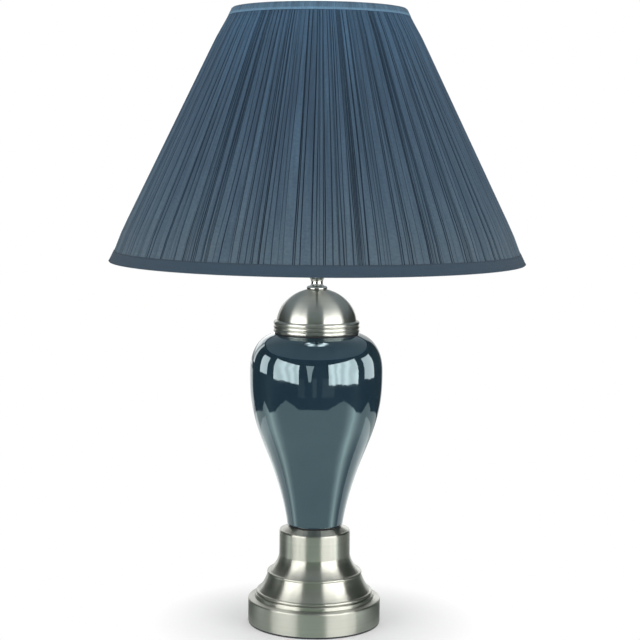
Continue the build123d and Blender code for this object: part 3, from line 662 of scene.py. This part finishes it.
@dataclass
class Shade:
    """The pleated cover and the tapes of the shade, on the frame's own cone.

    Depths, leans and paces are ranges that each pleat draws from. Both folds are in turns of the tape.
    """

    pleats: int = 310
    steps: int = 8
    rows: int = 18
    seed: int = 27
    narrowest: float = 0.3
    wider: float = 2.2
    wander: float = 0.3
    crease: float = 0.13
    widest_crease: float = 0.3
    depths: Span = (0.5, 1.0)
    leans: Span = (-0.25, 0.25)
    paces: Span = (1.5, 6.0)
    lip_light: float = 0.6
    flank_shadow: float = 0.9
    cover_inset: float = 0.9 * MM
    fullness: float = 2.4 * MM
    ease: float = 30.0 * MM
    deepest: float = 1.8 * MM
    deeper: float = 1.0 * MM
    low_stand: float = 0.8
    low_rise: float = 2.5
    # Painted shade: from gather_start up, the creases darken more towards the top.
    gather_start: float = 0.9
    gather: float = 3.0
    # Painted shade by height: the cloth is darkest at the dullest share and lighter towards both ends.
    tone_share: float = 0.28
    height_shade_curve: float = 2.2
    dullest: float = 0.58
    cloth: float = 0.35 * MM
    flat_width: float = 1.5
    tape: float = 0.8 * MM
    tape_slack: float = 0.2 * MM
    tape_columns: int = 320
    tape_rows: int = 6
    tape_reach: float = 7.5 * MM
    tape_turn: float = 1.6 * MM
    outer_fold: tuple[Span, ...] = ((-0.1, 0.6), (-0.5, 0.12), (-1.2, 0.0))
    inner_fold: tuple[Span, ...] = ((1.0, 0.0), (0.3, 0.3), (0.0, 1.0))
    puckers: int = 7
    pucker_counts: tuple[int, int] = (9, 90)
    pucker_sizes: Span = (0.02, 0.07)
    pucker_depth: float = 0.12 * MM
    pucker_most: float = 0.3
    hem_rows: int = 2
    hem_highlight: float = 0.95
    tape_tone: float = 0.3

    def __post_init__(self) -> None:
        """Reads the cone and the rings from the frame."""
        top, bottom, ring, spider = (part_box(n) for n in ("top_tape", "bottom_tape", "bottom_ring", "spider"))
        self.top_z, self.bottom_z = top[1][2], bottom[0][2]
        self.top_hem, self.bottom_hem = top[0][2], bottom[1][2]
        self.bottom_radius = bottom[1][0]
        self.slope = (bottom[1][0] - top[1][0]) / (self.top_hem - self.bottom_z)
        self.wire = (ring[1][2] - ring[0][2]) / 2
        self.bottom_ring = ring[1][0] - self.wire
        self.top_ring = spider[1][0] - self.wire

    def radius(self, height: float) -> float:
        """Returns the radius of the shade's outer cone at a height."""
        return self.bottom_radius - self.slope * (height - self.bottom_z)

    def lay_pleats(self) -> list[Pleat]:
        """Returns uneven pleats that fill the full turn."""
        draw = random.Random(self.seed)
        widths = [self.narrowest + self.wider * draw.random() ** 2 for _ in range(self.pleats)]
        share = math.tau / sum(widths)
        usual = sum(widths) / self.pleats
        laid, start = [], 0.0
        for index, width in enumerate(widths):
            wander = self.wander * share * min(width, widths[index - 1])
            crease = min(self.widest_crease, self.crease * usual / width)
            depth = draw.uniform(*self.depths)
            lean = draw.uniform(*self.leans)
            tone = draw.uniform(0.0, 1.0)
            phase = draw.uniform(0.0, math.tau)
            pace = draw.uniform(*self.paces)
            shadow = self.flank_shadow * draw.random()
            laid.append(Pleat(start, wander, depth, crease, lean, tone, phase, pace, shadow))
            start += width * share
        return laid

    def puff(self, height: float) -> float:
        """Returns how far the pleats stand out past the tapes at a height."""
        reach = min(height - self.bottom_hem, self.top_hem - height) / self.ease
        share = max(0.0, min(1.0, reach))
        return self.fullness * share * (2.0 - share)

    def build_cover(self) -> Object:
        """Returns the pleated cloth."""
        laid = self.lay_pleats()
        columns = self.pleats * self.steps
        piece = grid_piece("pleated_cover", columns, self.rows)
        low, high = self.bottom_z + self.tape, self.top_z - self.tape
        folds, tone_and_light = [], []
        for vertex in piece.data.vertices:
            column, row = grid_place(vertex, columns, self.rows)
            number = (column // self.steps) % self.pleats
            pleat = laid[number]
            step = column % self.steps
            share = row / self.rows
            height = low + share * (high - low)
            start = pleat.edge(share)
            after = laid[(number + 1) % self.pleats].edge(share)
            end = after + (math.tau if number + 1 == self.pleats else 0.0)
            along, sunk = pleat.section(step, self.steps)
            rise = (1.0 - self.low_stand) * min(1.0, self.low_rise * share)
            sunk *= pleat.stand(share) * (self.low_stand + rise)
            puff = self.puff(height)
            depth = self.deepest + self.deeper * puff / self.fullness
            radius = self.radius(height) + puff - self.cover_inset - depth * sunk
            vertex.co = ring_point(radius, start + along * (end - start), height)
            # Painted shade: the fold value darkens where the pleat is sunk, more near the top and on the flank
            # in the pleat's shadow.
            top_crease_shade = max(0.0, share - self.gather_start) * self.gather
            folds.append(max(0.0, 1.0 - sunk * (1.0 + top_crease_shade)) * pleat.flank(step, self.steps))
            # The tone holds a random tone per pleat, painted shade by height and a painted highlight on the
            # lit edge of the crease.
            lip = self.lip_light * pleat.lip(step, self.steps)
            tone_and_light.append(self.tone_share * pleat.tone + self.height_shade_curve * (share - self.dullest) ** 2 + lip)
        write_values(piece, "fold", folds)
        write_values(piece, "tone", tone_and_light)
        close_sheet(piece, self.cloth)
        return piece

    def tape_path(self, edge: float, hem: float, inner_hem: float, ring: float) -> list[Span]:
        """Returns the section of a tape from its outer hem round the edge to its inner hem.

        Args:
            edge: Height of the shade's edge.
            hem: Height of the outer hem.
            inner_hem: Height of the inner hem.
            ring: Radius of the ring that the tape wraps.

        Returns:
            Points of radius and height.
        """
        rise = self.tape_turn if hem > edge else -self.tape_turn
        inside = ring - self.wire - self.tape
        heights = [hem + (edge - hem) * row / self.tape_rows for row in range(self.tape_rows)]
        path = [(self.radius(height), height) for height in heights]
        for corner, fold in ((self.radius(edge), self.outer_fold), (inside, self.inner_fold)):
            path.extend((corner + out * self.tape_turn, edge + up * rise) for out, up in fold)
        path.append((inside, (edge + rise + inner_hem) / 2))
        path.append((inside, inner_hem))
        return path

    def build_tape(self, name: str, path: list[Span]) -> Object:
        """Returns a tape folded over an edge of the shade.

        Args:
            name: The piece's name.
            path: Its section.

        Returns:
            The tape.
        """
        draw = random.Random(self.seed + len(name))
        waves = []
        for _ in range(self.puckers):
            count = draw.randint(*self.pucker_counts)
            waves.append((count, draw.uniform(0.0, math.tau), draw.uniform(*self.pucker_sizes)))
        rows = len(path) - 1
        piece = grid_piece(name, self.tape_columns, rows)
        tone_and_light = []
        for vertex in piece.data.vertices:
            column, row = grid_place(vertex, self.tape_columns, rows)
            angle = math.tau * column / self.tape_columns
            radius, height = path[row]
            pucker = sum(size * math.sin(count * angle + phase) for count, phase, size in waves)
            radius -= self.pucker_depth * (1.0 + pucker / self.pucker_most)
            vertex.co = ring_point(radius, angle, height)
            # Painted highlight: the hem rows are lighter than the rest of the tape; the tone also follows the
            # puckers.
            tone_and_light.append((self.hem_highlight if row < self.hem_rows else self.tape_tone) + pucker)
        write_values(piece, "fold", [1.0] * len(tone_and_light))
        write_values(piece, "tone", tone_and_light)
        close_sheet(piece, self.tape - self.tape_slack)
        return piece

    def hang(self, piece: Object, node: str, flat: Span) -> Object:
        """Finishes a soft piece and lets it ride on the shade.

        Args:
            piece: The sheet.
            node: The CAD node that it stands for.
            flat: Its flat width and height in metres.

        Returns:
            The same piece.
        """
        piece.data.materials.append(CLOTHS[piece.name].build(flat))
        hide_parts(node)
        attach(piece, "shade")
        return piece

    def dress(self) -> list[Object]:
        """Builds the cover and both tapes, and returns them."""
        tall = self.top_z - self.bottom_z
        cover_flat = (self.flat_width, math.hypot(tall, self.slope * tall))
        done = [self.hang(self.build_cover(), "shade_cover", cover_flat)]
        edges = (
            ("top", self.top_z, self.top_hem, self.top_z - self.tape_reach, self.top_ring),
            ("bottom", self.bottom_z, self.bottom_hem, self.bottom_z + self.tape_reach, self.bottom_ring),
        )
        for side, edge, hem, inner_hem, ring in edges:
            path = self.tape_path(edge, hem, inner_hem, ring)
            tape = self.build_tape(side + "_binding", path)
            width = sum(math.dist(a, b) for a, b in zip(path, path[1:]))
            flat = (math.tau * self.radius(edge), width)
            done.append(self.hang(tape, side + "_tape", flat))
        return done


@dataclass
class Bulb:
    """The bulb's screw cap with its rolled thread."""

    pitch: float = 3.6 * MM
    thread: float = 0.75 * MM
    thread_end: float = 0.86
    thread_fade: float = 6.0
    lip: float = 1.4 * MM
    columns: int = 72
    rows: int = 60
    wall: float = 0.5 * MM

    def dress(self) -> list[Object]:
        """Builds the threaded cap in place of the plain one, and returns it."""
        low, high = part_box("bulb_cap")
        piece = grid_piece("threaded_cap", self.columns, self.rows)
        length = high[2] - low[2]
        for vertex in piece.data.vertices:
            column, row = grid_place(vertex, self.columns, self.rows)
            angle = math.tau * column / self.columns
            share = row / self.rows
            fade_in = self.thread_fade * share
            fade_out = self.thread_fade * (self.thread_end - share)
            fade = max(0.0, min(1.0, fade_in, fade_out))
            wave = 0.5 - 0.5 * math.cos(math.tau * share * length / self.pitch - angle)
            sunk = self.thread * fade * wave if row else self.lip
            vertex.co = ring_point(high[0] - sunk, angle, low[2] + share * length)
        close_sheet(piece, self.wall)
        piece.data.materials.append(FINISHES["bulb_metal"].build())
        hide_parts("bulb_cap")
        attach(piece, "bulb")
        return [piece]


@dataclass
class Nodes:
    """The CAD nodes that keep their own shape and get a finish."""

    def dress(self) -> list[Object]:
        """Gives every node its slot's finish, and returns the nodes."""
        built: dict[str, Material] = {}
        done = []
        for part in frame["record"]["subparts"]:
            slot = part["material_slot"]
            if slot not in FINISHES:
                continue
            if slot not in built:
                built[slot] = FINISHES[slot].build()
            node = frame["nodes"][part["node"]]
            if not node.material_slots:
                node.data.materials.append(built[slot])
            for place in node.material_slots:
                place.material = built[slot]
            done.append(node)
        return done


@dataclass(frozen=True)
class Softbox:
    """A glowing panel bent round the lamp, seen only in reflections.

    It starts and ends some degrees to the right of the camera's side. Other sizes are in metres.
    A skirt is how much further out the table reaches under it.
    """

    name: str
    start: float
    end: float
    low: float
    high: float
    glow: float
    skirt: float = 0.0
    only: tuple[str, ...] = ()
    taper: float = 1.0
    low_lean: float = 0.0
    high_lean: float = 0.0
    low_far: float = 1.05
    high_far: float = 1.05
    colour: Colour = WHITE
    crease: float = 0.0
    crease_scale: float = 1.6
    crease_bend: float = 5.0
    solid: bool = False
    half_facet: float = 3.0

    @property
    def centre(self) -> float:
        """Returns the direction of the panel's middle in degrees."""
        return (self.start + self.end) / 2

    @property
    def half(self) -> float:
        """Returns half of the panel's width in degrees."""
        return (self.end - self.start) / 2

    def finish(self) -> Material:
        """Returns the panel's glow, creased or even, with what lies behind it unless it is solid."""
        bench = Bench(bpy.data.materials.new(self.name))
        glow = self.glow
        if self.crease:
            folds = {"Vector": bench.place(), "Scale": self.crease_scale, "Distortion": self.crease_bend}
            creases = bench.add("TexWave", folds).outputs["Fac"]
            glow = bench.spread(creases, 0.0, 1.0, (1.0 - self.crease) * self.glow, self.glow)
        light = bench.add("Emission", {"Color": self.colour, "Strength": glow}).outputs[0]
        if self.solid:
            return bench.end(light)
        clear = bench.add("BsdfTransparent").outputs[0]
        return bench.end(bench.add("AddShader", {0: light, 1: clear}).outputs[0])

    def build(self) -> Object:
        """Returns the panel, which lights only its own nodes where it names any."""
        columns = max(2, round(self.half / self.half_facet))
        panel = grid_piece(self.name, columns, 1)
        for vertex in panel.data.vertices:
            column, row = grid_place(vertex, columns, 1)
            side = 2.0 * column / columns - 1.0
            half = self.half if row else self.half * self.taper
            far = self.high_far if row else self.low_far
            height = self.high + self.high_lean * side if row else self.low + self.low_lean * side
            vertex.co = stage_point(self.centre + half * side, far, height)
        panel.visible_camera = False
        panel.visible_diffuse = False
        panel.visible_shadow = False
        panel.visible_transmission = False
        panel.data.materials.append(self.finish())
        if self.only:
            lit = bpy.data.collections.new(self.name + "_sees")
            for node in self.only:
                lit.objects.link(frame["nodes"][node])
            panel.light_linking.receiver_collection = lit
        return panel


def table_patch(name: str, start: float, end: float, glow: float, reach: float) -> Softbox:
    """Returns a lit patch of the table, from the lamp out to its reach, that only the vase mirrors."""
    reaches = {"low_far": TABLE_START, "high_far": reach}
    return Softbox(name, start, end, TABLE_TOP, TABLE_TOP, glow, only=VASE, **reaches)


@dataclass(frozen=True)
class Lamp:
    """A soft lamp that lights the cloth and doesn't show in reflections."""

    name: str
    turn: float
    far: float
    height: float
    power: float
    width: float = 1.5
    tall: float = 1.4
    aim: Point = (0.0, 0.0, 0.4)

    def build(self) -> Object:
        """Returns the lamp, turned towards its aim."""
        data = bpy.data.lights.new(self.name, "AREA")
        data.shape = "RECTANGLE"
        data.size = self.width
        data.size_y = self.tall
        data.energy = self.power
        lamp = bpy.data.objects.new(self.name, data)
        bpy.context.collection.objects.link(lamp)
        lamp.location = stage_point(self.turn, self.far, self.height)
        lamp.rotation_mode = "QUATERNION"
        lamp.rotation_quaternion = (Vector(self.aim) - lamp.location).to_track_quat("-Z", "Y")
        lamp.visible_glossy = False
        lamp.visible_camera = False
        return lamp


@dataclass(frozen=True)
class Glint:
    """A painted reflection of a panel on the table, a brighter streak: its direction and half its width in
    degrees, and its glow.
    """

    centre: float
    half: float
    glow: float


@dataclass(frozen=True)
class Floor:
    """The white floor, which is a pale table on a dark ground in reflections.

    Turns are degrees to the right of the camera's side. Other sizes are in metres.
    """

    radius: float = 5.0
    drop: float = 0.2 * MM
    corners: int = 96
    paint: Colour = (0.88, 0.88, 0.88)
    fade: Span = (0.075, 0.18)
    fade_from: float = 0.3
    table: float = 0.6
    table_back: float = 0.9
    back_turn: Span = (95.0, 150.0)
    table_edge: float = 0.03
    ground: float = 0.05
    tint: Colour = (0.92, 1.0, 0.95)
    glow: float = 0.75
    # Painted shadow of the base in the table's reflected glow.
    shadow_glow: Span = (0.62, 0.15)
    shadow_turn: Span = (60.0, 110.0)
    shadow_reach: Span = (0.09, 0.26)
    shadow_more: float = 0.2
    glints: tuple[Glint, ...] = (Glint(-88.0, 24.0, 1.5), Glint(72.0, 24.0, 1.85))
    glint_clear: Span = (0.1, 0.25)

    def reach(self, bench: Bench, turn: Socket, panels: tuple[Softbox, ...]) -> Socket:
        """Returns how far the table reaches, further out behind and under each panel with a skirt.

        Args:
            bench: The floor's material.
            turn: The direction from the lamp.
            panels: The panels round the lamp.

        Returns:
            The radius of the table's edge.
        """
        aside = bench.maths("ABSOLUTE", turn)
        reach = bench.spread(aside, *self.back_turn, self.table, self.table_back)
        for panel in panels:
            if panel.skirt:
                off = bench.maths("ABSOLUTE", bench.maths("SUBTRACT", turn, panel.centre))
                reach = bench.maths("ADD", reach, bench.spread(off, 0.0, panel.half, panel.skirt, 0.0))
        return reach

    def table_glow(self, bench: Bench, turn: Socket, radius: Socket) -> Socket:
        """Returns the table's glow, with the base's painted shadow round it and the panels' painted
        reflections as streaks.

        Args:
            bench: The floor's material.
            turn: The direction from the lamp.
            radius: The distance from the lamp.

        Returns:
            The brightness.
        """
        aside = bench.maths("ABSOLUTE", turn)
        more = bench.spread(aside, *self.shadow_turn, 0.0, self.shadow_more)
        past_base = bench.maths("SUBTRACT", radius, more)
        shadow = bench.spread(aside, *self.shadow_turn, *self.shadow_glow)
        share = bench.spread(past_base, *self.shadow_reach, 1.0, 0.0)
        darker = bench.maths("MULTIPLY", share, bench.maths("SUBTRACT", self.glow, shadow))
        lit = bench.maths("SUBTRACT", self.glow, darker)
        clear = bench.spread(radius, *self.glint_clear, 0.0, 1.0)
        for glint in self.glints:
            off = bench.maths("ABSOLUTE", bench.maths("SUBTRACT", turn, glint.centre))
            peak = bench.maths("POWER", bench.spread(off, 0.0, glint.half, 1.0, 0.0), 2.0)
            streak = bench.maths("MULTIPLY", bench.maths("MULTIPLY", peak, glint.glow), clear)
            lit = bench.maths("ADD", lit, streak)
        return lit

    def finish(self, panels: tuple[Softbox, ...]) -> Material:
        """Returns the floor's material, white to the camera away from the lamp.

        Args:
            panels: The panels round the lamp.

        Returns:
            The material, clear from below.
        """
        bench = Bench(bpy.data.materials.new("white_floor"))
        parts = bench.split(bench.place())
        radius = bench.radius(parts)
        towards = bench.maths("MULTIPLY", parts["Y"], -1.0)
        turn = bench.maths("DEGREES", bench.maths("ARCTAN2", parts["X"], towards))
        past = bench.maths("SUBTRACT", radius, self.reach(bench, turn, panels))
        beyond = bench.spread(past, 0.0, self.table_edge, 1.0, self.ground)
        level = bench.maths("MULTIPLY", self.table_glow(bench, turn, radius), beyond)
        path = bench.add("LightPath").outputs
        fade = bench.spread(radius, *self.fade, self.fade_from, 1.0)
        seen = bench.maths("MULTIPLY", fade, path["Is Camera Ray"])
        mirror = bench.maths("MAXIMUM", path["Is Glossy Ray"], path["Is Transmission Ray"])
        white = bench.add("Emission", {"Strength": 1.0}).outputs[0]
        mirrored = bench.add("Emission", {"Color": self.tint, "Strength": level}).outputs[0]
        paint = bench.add("BsdfDiffuse", {"Color": self.paint}).outputs[0]
        plain = bench.add("MixShader", {0: seen, 1: paint, 2: white}).outputs[0]
        whole = bench.add("MixShader", {0: mirror, 1: plain, 2: mirrored}).outputs[0]
        clear = bench.add("BsdfTransparent").outputs[0]
        under = bench.add("NewGeometry").outputs["Backfacing"]
        return bench.end(bench.add("MixShader", {0: under, 1: whole, 2: clear}).outputs[0])

    def build(self, panels: tuple[Softbox, ...]) -> Object:
        """Returns the floor.

        Args:
            panels: The panels round the lamp.

        Returns:
            A disc just under the lamp.
        """
        bpy.ops.object.select_all(action="DESELECT")
        bpy.ops.mesh.primitive_circle_add(vertices=self.corners, radius=self.radius, fill_type="NGON")
        floor = bpy.context.active_object
        floor.name = "floor"
        floor.location.z = -self.drop
        floor.data.materials.append(self.finish(panels))
        return floor


@dataclass
class Studio:
    """The camera, the white floor and the lights."""

    camera_place: Point = (0.0, -1.804, 0.530)
    camera_aim: Point = (0.0, 0.0, 0.3403)
    lens: float = 92.25
    sensor: float = 36.0
    roll: float = 0.0095
    shift: float = 3.3 / 640.0
    ambient: float = 0.4
    floor: Floor = Floor()
    surround: Softbox = Softbox(
        "surround", -180.0, 180.0, -0.5, 4.0, floor.ground, low_far=3.2, high_far=3.2,
        colour=(0.82, 1.0, 0.86), solid=True,
    )
    panels: tuple[Softbox, ...] = (
        Softbox(
            "left_panel", -76.0, -29.0, 0.14, 0.71, 6.3, 0.3, low_lean=-0.015, high_lean=-0.09,
            colour=UMBRELLA_WHITE, crease=0.3,
        ),
        Softbox(
            "right_panel", 21.0, 75.0, 0.12, 0.76, 6.7, 0.3, high_lean=0.09,
            colour=UMBRELLA_WHITE, crease=0.3,
        ),
        Softbox("far_left_panel", -110.0, -91.0, 0.2, 0.7, 3.8, 0.3, VASE),
        Softbox("far_right_panel", 89.0, 116.0, 0.15, 0.72, 3.6, 0.3, VASE),
        Softbox("centre_panel", -17.0, -4.0, 0.15, 0.62, 2.0, only=VASE, taper=0.35),
        Softbox("rim_panel", -178.0, -141.0, 0.0, 0.8, 0.45, only=VASE),
        Softbox("shoulder_rim", -141.0, -134.0, 0.28, 0.8, 2.1, only=VASE),
        Softbox("shoulder_edge", -178.0, -141.0, 0.34, 0.62, 0.8, only=VASE),
        table_patch("rim_table", -178.0, -140.0, 0.7, 3.0),
        Softbox("back_left_panel", -178.0, -146.0, 0.0, 1.6, 1.2),
        Softbox("back_right_panel", 156.0, 178.0, 0.0, 1.6, 0.8),
        Softbox(
            "ceiling", -180.0, 180.0, 1.3, 1.3, 6.0, only=VASE, low_far=0.01, high_far=0.45, crease=1.0,
        ),
        Softbox("stand_left", -30.0, -19.0, 0.0, 0.2, 0.12, only=VASE),
        Softbox("stand_middle", -6.0, 1.0, 0.0, 0.2, 0.2, only=VASE),
        Softbox("stand_right", 10.0, 31.0, 0.0, 0.2, 0.15, only=VASE),
        table_patch("left_table", -160.0, -104.0, 0.6, 0.6),
        table_patch("right_table", 104.0, 160.0, 0.7, 0.6),
        Softbox("front_wall", -29.0, 21.0, 0.1, 0.6, 0.16, only=DOME, colour=WALL_GREEN),
        Softbox("low_wall", -29.0, 21.0, 0.0, 0.22, 0.6, only=BASE, colour=WALL_GREEN),
        Softbox("base_rim_left", -178.0, -146.0, 0.0, 0.4, 1.0, only=BASE),
        Softbox("base_rim_right", 146.0, 178.0, 0.0, 0.4, 0.6, only=BASE),
        Softbox("dome_left", -82.0, -29.0, 0.2, 0.74, 3.0, only=DOME),
        Softbox("dome_right", 21.0, 82.0, 0.2, 0.74, 3.0, only=DOME),
    )
    lamps: tuple[Lamp, ...] = (
        Lamp("left_lamp", -50.0, 2.2, 1.0, 22.0),
        Lamp("right_lamp", 50.0, 2.2, 1.0, 22.0),
        Lamp("back_lamp", 180.0, 2.2, 1.0, 12.0),
        Lamp("table_bounce", 0.0, 0.0, 0.004, 4.0),
    )

    def place_camera(self) -> None:
        """Adds the camera at the photograph's view."""
        data = bpy.data.cameras.new("camera")
        data.lens = self.lens
        data.sensor_width = self.sensor
        data.shift_x = self.shift
        camera = bpy.data.objects.new("camera", data)
        bpy.context.collection.objects.link(camera)
        look = (Vector(self.camera_aim) - Vector(self.camera_place)).normalized()
        camera.rotation_mode = "QUATERNION"
        camera.rotation_quaternion = Quaternion(look, -self.roll) @ look.to_track_quat("-Z", "Y")
        camera.location = self.camera_place
        bpy.context.scene.camera = camera

    def light_world(self) -> None:
        """Makes the background white where it is seen, and the ambient light weaker."""
        bench = Bench(bpy.data.worlds.new("studio"), "OutputWorld")
        path = bench.add("LightPath").outputs
        seen = bench.maths("MAXIMUM", path["Is Camera Ray"], path["Is Glossy Ray"])
        through = bench.maths("MAXIMUM", seen, path["Is Transmission Ray"])
        level = bench.spread(through, 0.0, 1.0, self.ambient, 1.0)
        ground = bench.add("Background", {"Color": WHITE, "Strength": level}).outputs[0]
        bpy.context.scene.world = bench.end(ground)

    def build(self) -> None:
        """Sets up the whole studio."""
        bpy.context.scene.view_settings.view_transform = "Standard"
        self.place_camera()
        self.light_world()
        self.floor.build(self.panels)
        for light in (self.surround, *self.panels, *self.lamps):
            light.build()


def main() -> None:
    """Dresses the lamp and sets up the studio."""
    logging.basicConfig(level=logging.INFO, format="%(message)s")
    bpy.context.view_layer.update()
    for group in (Nodes(), Shade(), Bulb()):
        for piece in group.dress():
            LOG.info("%s: %s, %d faces", type(group).__name__, piece.name, len(piece.data.polygons))
    Studio().build()


if __name__ == "__main__":
    main()
